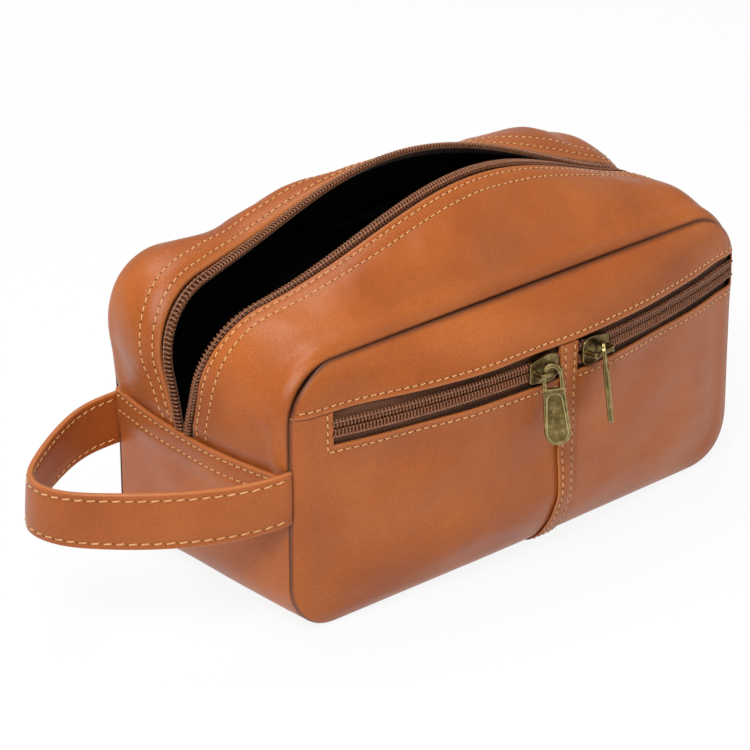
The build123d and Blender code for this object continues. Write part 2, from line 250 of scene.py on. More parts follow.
def node(tree, kind, inputs=None, **settings):
    # a new node with its own settings, each input a constant or the socket that feeds it
    made = tree.nodes.new(kind)
    for key, value in settings.items():
        setattr(made, key, value)
    for key, value in (inputs or {}).items():
        if isinstance(value, bpy.types.NodeSocket):
            tree.links.new(value, made.inputs[key])
        else:
            made.inputs[key].default_value = value
    return made


def calc(tree, operation, *terms):
    return node(tree, "ShaderNodeMath", dict(enumerate(terms)), operation=operation).outputs[0]


def spread(tree, value, **ends):
    # a Map Range node, its ends given as FromMin, FromMax, ToMin and ToMax
    named = {key[:-3] + " " + key[-3:]: end for key, end in ends.items()}
    return node(tree, "ShaderNodeMapRange", {"Value": value, **named}).outputs["Result"]


def mixed(tree, share, first, second, **settings):
    # inputs 6 and 7 and output 2 are the colour ones of a Mix node
    inputs = {0: share, 6: first, 7: second}
    return node(tree, "ShaderNodeMix", inputs, data_type="RGBA", **settings).outputs[2]


def ramp(tree, value, stops):
    made = node(tree, "ShaderNodeValToRGB", {0: value})
    points = made.color_ramp.elements
    while len(points) < len(stops):
        points.new(0.5)
    for point, (place, colour) in zip(points, stops):
        point.position = place
        point.color = (*colour, 1)
    return made.outputs[0]


def bumped(tree, height, strength, depth):
    inputs = {"Height": height, "Strength": strength, "Distance": depth}
    return node(tree, "ShaderNodeBump", inputs).outputs["Normal"]


def finishMaterial(tree, inputs):
    shader = node(tree, "ShaderNodeBsdfPrincipled", inputs)
    node(tree, "ShaderNodeOutputMaterial", {"Surface": shader.outputs["BSDF"]})


def emptyGroup(name, inputs, outputs):
    # a shader group with float inputs at their defaults, a vector and float outputs
    group = bpy.data.node_groups.new(name, "ShaderNodeTree")
    side = group.interface
    for key, default in inputs.items():
        side.new_socket(key, in_out="INPUT", socket_type="NodeSocketFloat").default_value = default
    side.new_socket("Vector", in_out="INPUT", socket_type="NodeSocketVector")
    for key in outputs:
        side.new_socket(key, in_out="OUTPUT", socket_type="NodeSocketFloat")
    return group, group.nodes.new("NodeGroupInput").outputs


grainLook = {"wallWidth": 0.25, "pebble": 0.5, "pebbleDetail": 3, "foldSize": 0.28, "foldDetail": 5,
             "foldTwist": 0.6, "cloudDetail": 4}


def grainGroup():
    # leather grain: cell walls and soft wrinkles for height, large soft clouds for colour
    group, given = emptyGroup("leatherGrain", {"Grain Scale": 900.0, "Cloud Scale": 14.0, "Wrinkle": 0.5},
                              ("Height", "Clouds", "Pores"))
    place, scale = given["Vector"], given["Grain Scale"]
    cells = node(group, "ShaderNodeTexVoronoi", {"Vector": place, "Scale": scale}, feature="DISTANCE_TO_EDGE")
    pebble = node(group, "ShaderNodeTexNoise",
                  {"Vector": place, "Scale": scale, "Detail": grainLook["pebbleDetail"]})
    wrinkle = node(group, "ShaderNodeTexNoise",
                   {"Vector": place, "Scale": calc(group, "MULTIPLY", scale, grainLook["foldSize"]),
                    "Detail": grainLook["foldDetail"], "Distortion": grainLook["foldTwist"]})
    clouds = node(group, "ShaderNodeTexNoise",
                  {"Vector": place, "Scale": given["Cloud Scale"], "Detail": grainLook["cloudDetail"]})
    wall = spread(group, cells.outputs["Distance"], FromMax=grainLook["wallWidth"])
    soft = calc(group, "MULTIPLY_ADD", pebble.outputs["Fac"], grainLook["pebble"], wall)
    fold = calc(group, "MULTIPLY", wrinkle.outputs["Fac"], given["Wrinkle"])
    node(group, "NodeGroupOutput", {"Height": calc(group, "ADD", soft, fold), "Clouds": clouds.outputs["Fac"],
                                    "Pores": wall})
    return group


fullTurn = 6.2832


def weaveGroup():
    # herringbone twill from a UV in metres: a zigzag of fine ribs that turns at each half width
    group, given = emptyGroup("herringboneWeave", {"Rib": 0.0011, "Half Width": 0.003}, ("Height",))
    split = node(group, "ShaderNodeSeparateXYZ", {0: given["Vector"]}).outputs
    zigzag = calc(group, "PINGPONG", split["Y"], given["Half Width"])
    ribs = calc(group, "DIVIDE", calc(group, "ADD", split["X"], zigzag), given["Rib"])
    wave = calc(group, "SINE", calc(group, "MULTIPLY", ribs, fullTurn))
    node(group, "NodeGroupOutput", {"Height": spread(group, wave, FromMin=-1)})
    return group


leatherGrain = grainGroup()
herringbone = weaveGroup()

hide = {
    "dark": (0.37, 0.084, 0.0125), "mid": (0.44, 0.108, 0.0165), "light": (0.53, 0.142, 0.025),
    # the dark colour below is painted shade, laid into the seams, the centre strip's foot and the strap's
    # root
    "paintedShade": (0.06, 0.016, 0.006), "worn": (0.66, 0.25, 0.085),
    "stops": {"dark": 0.32, "mid": 0.5, "light": 0.72}, "pores": 0.22, "smooth": 0.32, "rough": 0.45,
    "grainScale": 950, "cloudScale": 16, "wrinkle": 0.5, "bump": 0.20, "bumpDepth": 0.00025,
    "specular": 0.34, "sheen": 0.03, "sheenRoughness": 0.5,
}


def leatherMaterial(name, tint=1.0, grain=1.0):
    material, tree = newMaterial(name)
    place = node(tree, "ShaderNodeTexCoord").outputs["Object"]
    surface = node(tree, "ShaderNodeGroup",
                   {"Vector": place, "Grain Scale": hide["grainScale"], "Cloud Scale": hide["cloudScale"],
                    "Wrinkle": hide["wrinkle"]}, node_tree=leatherGrain).outputs
    stops = [(at, [c * tint for c in hide[tone]]) for tone, at in hide["stops"].items()]
    colour = ramp(tree, surface["Clouds"], stops)
    colour = mixed(tree, hide["pores"], colour, surface["Pores"], blend_type="MULTIPLY")
    # painted shade from the first mask, then lighter worn edges from the second
    for mask in ("paintedShade", "worn"):
        share = node(tree, "ShaderNodeAttribute", attribute_name=mask).outputs["Fac"]
        colour = mixed(tree, share, colour, (*hide[mask], 1))
    finishMaterial(tree, {
        "Base Color": colour,
        "Roughness": spread(tree, surface["Clouds"], ToMin=hide["smooth"], ToMax=hide["rough"]),
        "Normal": bumped(tree, surface["Height"], hide["bump"] * grain, hide["bumpDepth"]),
        "Specular IOR Level": hide["specular"],
        "Sheen Weight": hide["sheen"],
        "Sheen Roughness": hide["sheenRoughness"],
    })
    return material


clothLook = {"fuzz": 900, "fuzzShare": 0.6, "stops": (0.2, 1.0), "bump": 0.8, "specular": 0.2}


def clothMaterial(name, low, high, rib, halfWidth, roughness, bumpDepth, sheen=0.2):
    material, tree = newMaterial(name)
    place = node(tree, "ShaderNodeTexCoord").outputs
    weave = node(tree, "ShaderNodeGroup", {"Vector": place["UV"], "Rib": rib, "Half Width": halfWidth},
                 node_tree=herringbone)
    fuzz = node(tree, "ShaderNodeTexNoise", {"Vector": place["Object"], "Scale": clothLook["fuzz"]})
    both = calc(tree, "MULTIPLY_ADD", fuzz.outputs["Fac"], clothLook["fuzzShare"], weave.outputs["Height"])
    finishMaterial(tree, {
        "Base Color": ramp(tree, both, list(zip(clothLook["stops"], (low, high)))),
        "Roughness": roughness,
        "Normal": bumped(tree, both, clothLook["bump"], bumpDepth),
        "Specular IOR Level": clothLook["specular"],
        "Sheen Weight": sheen,
    })
    return material


threadLook = {"twist": 1500, "stops": (0.35, 0.65), "bump": 0.4, "bumpDepth": 0.0001}


def threadMaterial(name, low, high, roughness):
    material, tree = newMaterial(name)
    place = node(tree, "ShaderNodeTexCoord").outputs["Object"]
    twist = node(tree, "ShaderNodeTexNoise", {"Vector": place, "Scale": threadLook["twist"]}).outputs["Fac"]
    finishMaterial(tree, {
        "Base Color": ramp(tree, twist, list(zip(threadLook["stops"], (low, high)))),
        "Roughness": roughness,
        "Normal": bumped(tree, twist, threadLook["bump"], threadLook["bumpDepth"]),
    })
    return material


patina = {
    "scale": 220, "detail": 6, "roughness": 0.65,
    "tones": [(0.36, (0.085, 0.060, 0.022)), (0.52, (0.19, 0.135, 0.050)), (0.68, (0.38, 0.285, 0.115))],
    # the bright colour is a painted highlight on the edges
    "edgeHighlight": (0.84, 0.70, 0.32, 1), "edge": 0.00055, "highlightFrom": 0.995, "highlightTo": 0.90,
    "dull": 0.42, "polished": 0.22, "bump": 0.15, "bumpDepth": 0.0002,
}


def brassMaterial():
    material, tree = newMaterial("antiqueBrass")
    place = node(tree, "ShaderNodeTexCoord").outputs["Object"]
    cloud = node(tree, "ShaderNodeTexNoise",
                 {"Vector": place, "Scale": patina["scale"], "Detail": patina["detail"],
                  "Roughness": patina["roughness"]}).outputs["Fac"]
    # a painted highlight along the edges that rounded edges would catch, found where a rounded normal leaves
    # the flat one
    rounded = node(tree, "ShaderNodeBevel", {"Radius": patina["edge"]}, samples=6)
    flatWay = node(tree, "ShaderNodeNewGeometry")
    alike = node(tree, "ShaderNodeVectorMath", {0: rounded.outputs["Normal"], 1: flatWay.outputs["Normal"]},
                 operation="DOT_PRODUCT")
    edgeHighlightShare = spread(tree, alike.outputs["Value"], FromMin=patina["highlightFrom"], FromMax=patina["highlightTo"])
    finishMaterial(tree, {
        "Base Color": mixed(tree, edgeHighlightShare, ramp(tree, cloud, patina["tones"]), patina["edgeHighlight"]),
        "Metallic": 1,
        "Roughness": spread(tree, cloud, ToMin=patina["dull"], ToMax=patina["polished"]),
        "Normal": bumped(tree, cloud, patina["bump"], patina["bumpDepth"]),
    })
    return material


tanHide = leatherMaterial("tanHide")
strapHide = leatherMaterial("strapHide", tint=0.94, grain=0.8)
tapeCloth = clothMaterial("zipTape", (0.055, 0.018, 0.007), (0.20, 0.075, 0.03), 0.0012, 0.0022, 0.75, 0.0003)
blackLining = clothMaterial("blackLining", (0.0025, 0.0025, 0.0025), (0.007, 0.0065, 0.0065),
                            0.0010, 0.005, 0.95, 0.0001, sheen=0.0)
coilNylon = threadMaterial("coilNylon", (0.17, 0.058, 0.022), (0.30, 0.115, 0.052), 0.28)
goldThread = threadMaterial("goldThread", (0.52, 0.25, 0.085), (0.80, 0.47, 0.20), 0.6)
# dark discs painted as the shade inside the needle holes
holeShade = threadMaterial("holeShade", (0.05, 0.016, 0.005), (0.08, 0.026, 0.009), 0.9)
brass = brassMaterial()
print("materials made")


# stitching
threadWork = {"pitch": 0.0038, "strapPitch": 0.0052, "share": 0.80, "thick": 0.00034, "strapShare": 1.2,
              "lift": 0.00012, "dip": 0.00045, "hole": 0.00026, "holeAt": 0.92, "holeLift": 0.00006,
              "lean": 0.12}
stitchBits = {}


def addStitches(body, path, normal):
    # each stitch is a capsule lying along the row, its ends dipping in, with a dark disc at each end as
    # painted shade in its needle hole
    at, pitch = evenly(path, threadWork["strapPitch" if body == "strapRoot" else "pitch"])
    thick = threadWork["thick"] * (threadWork["strapShare"] if body == "strapRoot" else 1)
    low = np.clip(np.floor(at).astype(int), 0, len(path) - 2)
    part = (at - low)[:, None]
    centre = path[low] * (1 - part) + path[low + 1] * part
    up = normal[low] * (1 - part) + normal[low + 1] * part
    up /= np.linalg.norm(up, axis=1, keepdims=True)
    ahead = path[np.minimum(low + 1, len(path) - 1)] - path[np.maximum(low - 1, 0)]
    ahead /= np.linalg.norm(ahead, axis=1, keepdims=True)
    side = np.cross(up, ahead)
    side /= np.linalg.norm(side, axis=1, keepdims=True)
    ahead = ahead * math.cos(threadWork["lean"]) + side * math.sin(threadWork["lean"])
    side = np.cross(up, ahead)
    s = np.linspace(-1, 1, 7)
    a = np.arange(6) / 6 * 2 * np.pi
    girth = thick * np.sqrt(np.clip(1 - np.abs(s) ** 4, 0.02, 1))
    along = s * threadWork["share"] / 2 * pitch
    lift = threadWork["lift"] - threadWork["dip"] * np.abs(s) ** 3
    rise = lift[None, :, None, None] + (girth[:, None] * np.sin(a))[None, ..., None]
    capsules = (centre[:, None, None] + ahead[:, None, None] * along[None, :, None, None]
                + up[:, None, None] * rise
                + side[:, None, None] * (girth[:, None] * np.cos(a))[None, ..., None])
    stitchBits.setdefault(body, []).append(capsules)
    disc = np.array([0.0, 1.0])
    ring = np.arange(8) / 8 * 2 * np.pi
    for tip in (-1, 1):
        # flat dark discs, painted shade for the needle holes
        middle = centre + ahead * tip * pitch / 2 * threadWork["holeAt"]
        flat = (middle[:, None, None] + up[:, None, None] * threadWork["holeLift"]
                + (ahead[:, None, None] * np.cos(ring)[None, None, :, None]
                   + side[:, None, None] * np.sin(ring)[None, None, :, None]) * threadWork["hole"]
                * disc[None, :, None, None])
        stitchBits.setdefault(body + "Holes", []).append(flat)


def stitchRow(points, normal, rowAt, colAt, body="bag"):
    # a row of stitches along fractional places of a grid, either of which may be one number
    rowAt, colAt = np.broadcast_arrays(rowAt, colAt)
    addStitches(body, trace(points, rowAt, colAt), trace(normal, rowAt, colAt))


def finishStitches():
    for key, bits in stitchBits.items():
        holes = key.endswith("Holes")
        body = key.removesuffix("Holes")
        blocks = np.concatenate(bits, 0)
        count, rows, cols = blocks.shape[:3]
        one = gridFaces(rows, cols, wrapV=True)
        quads = (one[None] + np.arange(count)[:, None, None] * rows * cols).reshape(-1, 4)
        if not holes:
            quads = quads[:, ::-1]
        name = ("needleHoles_" if holes else "stitching_") + body
        meshObject(name, blocks.reshape(-1, 3), quads, holeShade if holes else goldThread, body)


# front panels
def swell(z):
    # 1 between the foot and the zip, falling to 0 at the base and at the top seam
    foot = np.clip((bag["swellFoot"] - z) / bag["swellFoot"], 0, 1)
    head = np.clip((z - windowTop) / (bag["height"] - windowTop), 0, 1)
    return 1 - foot ** 2.5 - head ** 2.2


def bulgeAt(x, z, bulge):
    # a circle in plan through both end seams, scaled by the swell in height
    radius = (halfLength ** 2 + bulge ** 2) / (2 * bulge)
    return (np.sqrt(radius ** 2 - x ** 2) - (radius - bulge)) * swell(z)


def outlineDistance(x, z, inset=0.0):
    # distance inside the rounded outline of the big seams
    w, h, r = halfLength - inset, bag["height"] / 2 - inset, bag["corner"] - inset
    qx = np.abs(x) - (w - r)
    qz = np.abs(z - bag["height"] / 2) - (h - r)
    away = np.hypot(np.maximum(qx, 0), np.maximum(qz, 0)) + np.minimum(np.maximum(qx, qz), 0) - r
    return -away


def outlineWidth(z):
    # half the outline's width at a height: full between the corners, a circle within them
    r = bag["corner"]
    over = np.maximum(np.abs(z - bag["height"] / 2) - (bag["height"] / 2 - r), 0)
    return halfLength - r + np.sqrt(np.clip(r * r - over * over, 0, None))


def cornerSpread(count, start, end):
    # places that crowd together towards start, as a circle's points do
    return start + (end - start) * (1 - np.cos(np.linspace(0, np.pi / 2, count)))


def finer(edges, spacing, near, nearSpacing):
    # a sorted list of places with the given edges in it and closer steps beside them
    places = set()
    edges = sorted(edges)
    for a, b in zip(edges[:-1], edges[1:]):
        run = a
        steps = []
        while run < b - 1e-6:
            steps.append(run)
            close = min(run - a, b - run)
            run += nearSpacing if close < near else spacing
        places.update(np.round(steps, 6))
    places.add(round(edges[-1], 6))
    kept = [sorted(places)[0]]
    for value in sorted(places)[1:]:
        if value - kept[-1] > nearSpacing * 0.45 or value in np.round(edges, 6):
            kept.append(value)
    return np.array(kept)


stitchLines = {"edge": 0.003, "second": 0.0085, "strip": 0.0023, "band": 0.0027, "bandSecond": 0.0092}
soft = {"dentSize": 0.085, "dent": 0.0015, "rippleSize": 0.05, "ripple": 0.00035, "fade": 0.02,
        "puff": 0.0009}
fold = {"turn": 0.0011, "lift": 0.0009, "liftReach": 0.006, "worn": 0.35}


def stitchGroove(distance, depth=0.00022, width=0.0011):
    return depth * bell(distance, 0, width)


def frontSurface(x, z, side=-1, bulge=bag["frontBulge"]):
    # the swelled panel, turned in at the seam, with soft dents
    y = halfDepth + bulgeAt(x, z, bulge)
    points = np.stack([x, side * y, z], -1)
    inside = outlineDistance(x, z)
    fade = np.clip(inside / soft["fade"], 0, 1)
    dent = softNoise(points, soft["dentSize"], 11 if side < 0 else 12, 2) * soft["dent"] * fade
    ripple = softNoise(points * np.array([1.0, 1.0, 2.2]), soft["rippleSize"], 21, 2) * soft["ripple"] * fade
    puff = soft["puff"] * bell(inside, 0.006, 0.005)
    y = y + dent + ripple + puff - turnedEdge(inside, bag["seamRoll"])
    return fullEnds(np.stack([x, side * y, z], -1)), inside


def widened(u, z):
    # columns near the ends move in and out with the rounded outline
    pull = np.clip((np.abs(u) - 0.09) / (halfLength - 0.09), 0, 1) ** 1.5
    return u + np.sign(u) * (outlineWidth(z) - halfLength) * pull


def buildUpperFront(rows, lines, xx, zz, out):
    # the upper panel, with its folded lower edge and one stitch row
    take = rows >= windowTop - 1e-6
    points, inside = frontSurface(xx[take], zz[take])
    edge = zz[take] - windowTop
    lift = fold["lift"] * bell(edge, 0, fold["liftReach"])
    points[..., 1] -= lift - turnedEdge(edge, fold["turn"]) - stitchGroove(edge - stitchLines["edge"]) * 1.3
    worn = fold["worn"] * bell(edge, 0.0006, 0.0009)
    # painted shade along the seam at the panel's outline
    sheetPiece("upperFrontLeather", points, out, tanHide, bag["leather"], ("front_upper_panel",),
               values={"paintedShade": seamShade(inside, 0.0011), "worn": worn})
    rowAt = placesIn(rows[take], windowTop + stitchLines["edge"])
    stitchRow(points, outwardNormals(points, out), rowAt, np.linspace(3, len(lines) - 4, 900))


def windowDistance(x, z, left, right):
    # how far a place lies outside a zip window that is open at its top
    return np.hypot(np.maximum(np.maximum(left - x, x - right), 0), np.maximum(windowFoot - z, 0))


def buildPocketPanels(rows, lines, xx, zz, uu, out):
    # the pocket panels below it, cut for the two zips
    take = rows <= windowTop + 1e-6
    x, z, u = xx[take], zz[take], uu[take]
    points, inside = frontSurface(x, z)
    edge = np.minimum(windowDistance(u, z, bag["leftWindow"], stripLeft),
                      windowDistance(u, z, stripRight, bag["rightWindow"]))
    lift = 0.0006 * bell(edge, 0, fold["liftReach"])
    points[..., 1] -= lift - (turnedEdge(edge, 0.0010) + stitchGroove(edge - stitchLines["edge"]))
    # the panel sinks a little beside the centre strip
    beside = np.abs(x - bag["stripCentre"]) - bag["stripWidth"] / 2
    points[..., 1] += 0.0004 * bell(beside, 0, 0.002)
    normal = outwardNormals(points, out)
    worn = 0.3 * bell(edge, 0.0005, 0.0008)
    middleZ = (z[1:, 1:] + z[:-1, :-1]) / 2
    middleU = (u[1:, 1:] + u[:-1, :-1]) / 2
    inLeft = (middleU > bag["leftWindow"]) & (middleU < stripLeft)
    inRight = (middleU > stripRight) & (middleU < bag["rightWindow"])
    whole = ~((middleZ > windowFoot) & (inLeft | inRight))
    for name, part, cad in (("leftPocketLeather", middleU < bag["stripCentre"], "left_pocket_panel"),
                            ("rightPocketLeather", middleU > bag["stripCentre"], "right_pocket_panel")):
        # painted shade along the seam at the panel's outline
        sheetPiece(name, points, out, tanHide, bag["leather"], (cad,), keep=part & whole,
                   values={"paintedShade": seamShade(inside, 0.0011), "worn": worn})

    gap = stitchLines["edge"]
    foot = windowFoot - gap
    for a, b in ((bag["leftWindow"] - gap, stripLeft - 0.001),
                 (stripRight + 0.001, bag["rightWindow"] - 0.0005)):
        stitchRow(points, normal, placesIn(rows[take], foot), placesIn(lines, np.linspace(a, b, 400)))
    stitchRow(points, normal, placesIn(rows[take], np.linspace(foot, windowTop - 0.0004, 60)),
              placesIn(lines, bag["leftWindow"] - gap))


def buildCentreStrip(out):
    # the centre strip, raised on the panel, with a raw edge and two stitch rows
    z = finer([0.0008, windowTop - 0.0002], 0.0014, 0.002, 0.0005)
    v = finer([stripLeft, stripRight], 0.0006, 0.0012, 0.0003)
    zs, xs = np.meshgrid(z, v, indexing="ij")
    points, inside = frontSurface(xs, zs)
    edge = np.minimum(xs - stripLeft, stripRight - xs)
    points[..., 1] -= 0.0013 - turnedEdge(edge, 0.0007) - stitchGroove(edge - stitchLines["strip"])
    points[..., 1] -= 0.0003 * np.sin(np.pi * (xs - stripLeft) / bag["stripWidth"])
    # painted shade at the strip's foot, darker over its lowest 3 mm beside the base seam
    paintedShade = np.clip(1 - zs / 0.003, 0, 1) * 0.8
    sheetPiece("centreStripLeather", points, out, strapHide, 0.0013, ("centre_strip",),
               values={"paintedShade": paintedShade, "worn": 0.75 * bell(edge, 0, 0.0004)})
    for at in (stripLeft + stitchLines["strip"], stripRight - stitchLines["strip"]):
        stitchRow(points, outwardNormals(points, out), np.linspace(1, len(z) - 2, 300), placesIn(v, at))


def buildFront():
    rows = finer([0.0, windowFoot, windowTop, bag["height"]], 0.0013, 0.0032, 0.0005)
    lines = finer([-halfLength, bag["leftWindow"], stripLeft, stripRight, bag["rightWindow"], halfLength],
                  0.0014, 0.0032, 0.0005)
    zz, uu = np.meshgrid(rows, lines, indexing="ij")
    xx = widened(uu, zz)
    out = np.array([0.0, -1.0, 0.0])
    buildUpperFront(rows, lines, xx, zz, out)
    buildPocketPanels(rows, lines, xx, zz, uu, out)
    buildCentreStrip(out)


def buildBack():
    corner = cornerSpread(14, 0, 0.02)
    rows = np.concatenate([corner, np.linspace(0.022, 0.100, 40), bag["height"] - corner[::-1]])
    lines = finer([-halfLength, halfLength], 0.003, 0.004, 0.0006)
    zz, uu = np.meshgrid(rows, lines, indexing="ij")
    points, inside = frontSurface(widened(uu, zz), zz, side=1, bulge=bag["backBulge"])
    # painted shade along the seam at the panel's outline
    paintedShade = seamShade(inside, 0.0011)
    sheetPiece("backLeather", points, np.array([0.0, 1.0, 0.0]), tanHide, bag["leather"], ("back_panel",),
               values={"paintedShade": paintedShade, "worn": paintedShade * 0})


buildFront()
buildBack()
print("front and back panels made")


# the rim of the mouth: top panels, tapes and coils
sideRun = bag["height"] - bag["corner"] - bag["bandTop"]
cornerRun = bag["corner"] * math.pi / 2
topRun = bag["length"] - 2 * bag["corner"]
rimLength = 2 * sideRun + 2 * cornerRun + topRun
closedRun = rimLength - (mouth["closedAt"] - bag["bandTop"])


def rimPath(run):
    # up the left end, round its corner, along the top, round the right corner and down
    r = bag["corner"]
    a = np.clip((run - sideRun) / r, 0, np.pi / 2)
    b = np.clip((run - sideRun - cornerRun - topRun) / r, 0, np.pi / 2)
    flat = np.clip(run - sideRun - cornerRun, 0, topRun)
    x = -halfLength + r * (1 - np.cos(a)) + flat + r * np.sin(b)
    z = bag["bandTop"] + np.minimum(run, sideRun) + r * np.sin(a) - r * (1 - np.cos(b))
    z -= np.maximum(run - (rimLength - sideRun), 0)
    out = np.where((run < sideRun + cornerRun + topRun / 2)[..., None],
                   np.stack([-np.cos(a), np.sin(a)], -1), np.stack([np.sin(b), np.cos(b)], -1))
    return x, z, out


def lipEdge(run, side):
    # the rise is a squared sine, the opening a skewed bell, both nought at the ends
    share = np.clip(run / closedRun, 0, 1)
    rise = mouth["rise"] * np.sin(np.pi * share ** 1.1) ** 2
    opening = mouth["gap"] * (share / 0.375) ** 1.2 * ((1 - share) / 0.625) ** 2
    middle = mouth["shift"] * (1 - share)
    return middle + side * (0.00015 + opening), rise


def rimPoint(run, side, back, depth):
    # a place a distance back from the zip's edge, on an arch from the seam to the lip
    edgeY, edgeOut = lipEdge(run, side)
    seamY = side * (halfDepth - bag["leather"])
    across = edgeY - seamY
    chord = np.hypot(across, edgeOut)
    part = 1 - back / chord
    wayY, wayOut = across / chord, edgeOut / chord
    upY, upOut = -wayOut * np.sign(across), np.abs(wayY)
    share = np.clip(run / closedRun, 0, 1)
    height = mouth["swell"] * (1 - share ** 8) * (1 - (1 - share) ** 12)
    arch = height * 4 * part * (1 - part)
    slope = height * 4 * (1 - 2 * part) / chord
    tilt = np.hypot(1, slope)
    y = seamY + wayY * part * chord + upY * arch + (upY - slope * wayY) / tilt * depth
    out = wayOut * part * chord + upOut * arch + (upOut - slope * wayOut) / tilt * depth
    x, z, outward = rimPath(run)
    return np.stack([x + outward[..., 0] * out, y, z + outward[..., 1] * out], -1)


def rimBelow(run, side, back, depth):
    # the same, carried straight down behind the band past either end of the rim
    safe = np.clip(run, 0, rimLength)
    points = rimPoint(safe, side, back, depth)
    points[..., 2] -= np.abs(run - safe)
    return points


def rimChord(run, side):
    edgeY, edgeOut = lipEdge(run, side)
    return np.hypot(edgeY - side * (halfDepth - bag["leather"]), edgeOut)


topFull = {"leftAt": 0.050, "leftReach": 0.030, "leftHeight": 0.0070, "rightAt": 0.252, "rightReach": 0.045,
           "rightHeight": 0.0115, "frontShare": 0.25, "backAt": 0.118, "backReach": 0.050,
           "backHeight": 0.0080}


lip = {"past": 0.003, "soften": 0.012, "ends": 0.03, "dentSize": 0.07, "dent": 0.0018, "fineSize": 0.022,
       "fine": 0.00022, "seamHump": 0.0014, "lipHump": 0.0008, "tuck": 0.0010, "tuckRun": 0.006}


def buildTop(name, side):
    # the leather from the seam to its folded edge beside the zip
    runs = np.linspace(-lip["past"], rimLength + lip["past"], 300)
    t = finer([0.0, 1.0], 0.022, 0.09, 0.010)
    rr, tt = np.meshgrid(runs, t, indexing="ij")
    safe = np.clip(rr, 0, rimLength)
    far = rimChord(safe, side)
    back = mouth["setback"] + (far - mouth["setback"]) * tt
    plain = rimBelow(rr, side, back, 0 * back)
    guide = inSection(rimPath(safe)[2])
    normal = outwardNormals(plain, guide, each=True)
    fromLip = (far - mouth["setback"]) * tt
    fromSeam = (far - mouth["setback"]) * (1 - tt)
    middle = np.clip(fromSeam / lip["soften"], 0, 1) * np.clip(fromLip / lip["soften"], 0, 1)
    ends = np.clip(safe / lip["ends"], 0, 1) * np.clip((rimLength - safe) / lip["ends"], 0, 1)
    lift = softNoise(plain, lip["dentSize"], 31 if side < 0 else 32, 2) * lip["dent"] * middle * ends
    lift += softNoise(plain, lip["fineSize"], 41, 2) * lip["fine"] * middle
    lift += lip["seamHump"] * bell(fromSeam, 0.005, 0.0045)
    lift += lip["lipHump"] * bell(fromLip, 0, 0.011) * ends
    lift -= turnedEdge(fromLip, fold["turn"]) + stitchGroove(fromLip - stitchLines["edge"])
    lift -= stitchGroove(fromLip - stitchLines["second"])
    lift -= turnedEdge(fromSeam, bag["seamRoll"])
    for along in (safe, rimLength - safe):
        lift -= lip["tuck"] * np.clip(1 - along / lip["tuckRun"], 0, 1)
    # fuller leather beside the mouth: a pillow at the left corner, a dome at the right and a swell behind
    full = np.sin(np.pi * np.clip(fromSeam / (fromSeam + fromLip + 1e-9), 0, 1)) ** 0.8
    where = topFull["leftHeight"] * bell(safe, topFull["leftAt"], topFull["leftReach"])
    where += topFull["rightHeight"] * bell(safe, topFull["rightAt"], topFull["rightReach"])
    lift += full * where * (1 if side > 0 else topFull["frontShare"])
    if side > 0:
        lift += full * topFull["backHeight"] * bell(safe, topFull["backAt"], topFull["backReach"])
    points = fullEnds(plain + normal * lift[..., None])
    worn = 0.3 * bell(fromLip, 0.0005, 0.0009)
    # painted shade along the seam beside the top panel's outer edge
    sheetPiece(name + "TopLeather", points, guide, tanHide, bag["leather"], (name + "_top_panel",),
               values={"paintedShade": seamShade(fromSeam, 0.0010), "worn": worn})
    shown = outwardNormals(points, guide, each=True)
    rowAt = np.linspace(3, len(runs) - 4, 1200)
    run = np.clip(np.interp(rowAt, np.arange(len(runs)), runs), 0, rimLength)
    for distance in (stitchLines["edge"], stitchLines["second"]):
        stitchRow(points, shown, rowAt, placesIn(t, distance / (rimChord(run, side) - mouth["setback"])))


underTop = {"from": 0.0100, "short": 0.0022, "depth": -0.0026, "past": 0.004}
tape = {"past": 0.005, "edge": 0.0006, "far": 0.0144, "depth": -0.0019, "roll": 0.0005, "rollFrom": 0.0012,
        "rollRun": 0.002}


def buildTopLining(name, side):
    # the lining under the top leather
    runs = np.linspace(-underTop["past"], rimLength + underTop["past"], 120)
    rr, tt = np.meshgrid(runs, np.linspace(0, 1, 12), indexing="ij")
    reach = rimChord(np.clip(rr, 0, rimLength), side) - underTop["from"] - underTop["short"]
    back = underTop["from"] + reach * tt
    points = fullEnds(rimBelow(rr, side, back, 0 * back + underTop["depth"]))
    uv = np.stack([lengthsAlong(points, 0), lengthsAlong(points, 1)], -1)
    sheetPiece(name + "TopLiningCloth", points, np.array([0.0, 0.0, -1.0]), blackLining, 0.0003,
               (name + "_top_lining",), uv=uv)


def buildMainTape(name, side):
    # the tape, from under the leather to under the coil
    runs = np.linspace(-tape["past"], rimLength + tape["past"], 330)
    rr, bb = np.meshgrid(runs, np.linspace(tape["edge"], tape["far"], 14), indexing="ij")
    depth = tape["depth"] + tape["roll"] * np.exp(-(bb - tape["rollFrom"]) / tape["rollRun"])
    points = fullEnds(rimBelow(rr, side, bb, depth))
    guide = inSection(rimPath(np.clip(rr, 0, rimLength))[2])
    sheetPiece("mainTape_" + name, points, guide, tapeCloth, 0.0004, ("main_zip_" + name + "_tape",),
               uv=np.stack([rr, bb], -1))


coil = {"pitch": 0.00158, "wide": 0.00172, "high": 0.00080, "thread": 0.00046, "slant": 0.00055,
        "middle": 0.0022, "cord": 0.00042, "cordBack": 0.0010, "cordSwell": 0.35, "steps": 12, "sides": 6}


def tubeAround(line, first, second, girth):
    # a round tube about a line, its section spanned by two directions, and its outward directions
    ring = np.arange(coil["sides"]) / coil["sides"] * 2 * np.pi
    outward = first[:, None] * np.cos(ring)[None, :, None] + second[:, None] * np.sin(ring)[None, :, None]
    return line[:, None] + outward * girth, outward


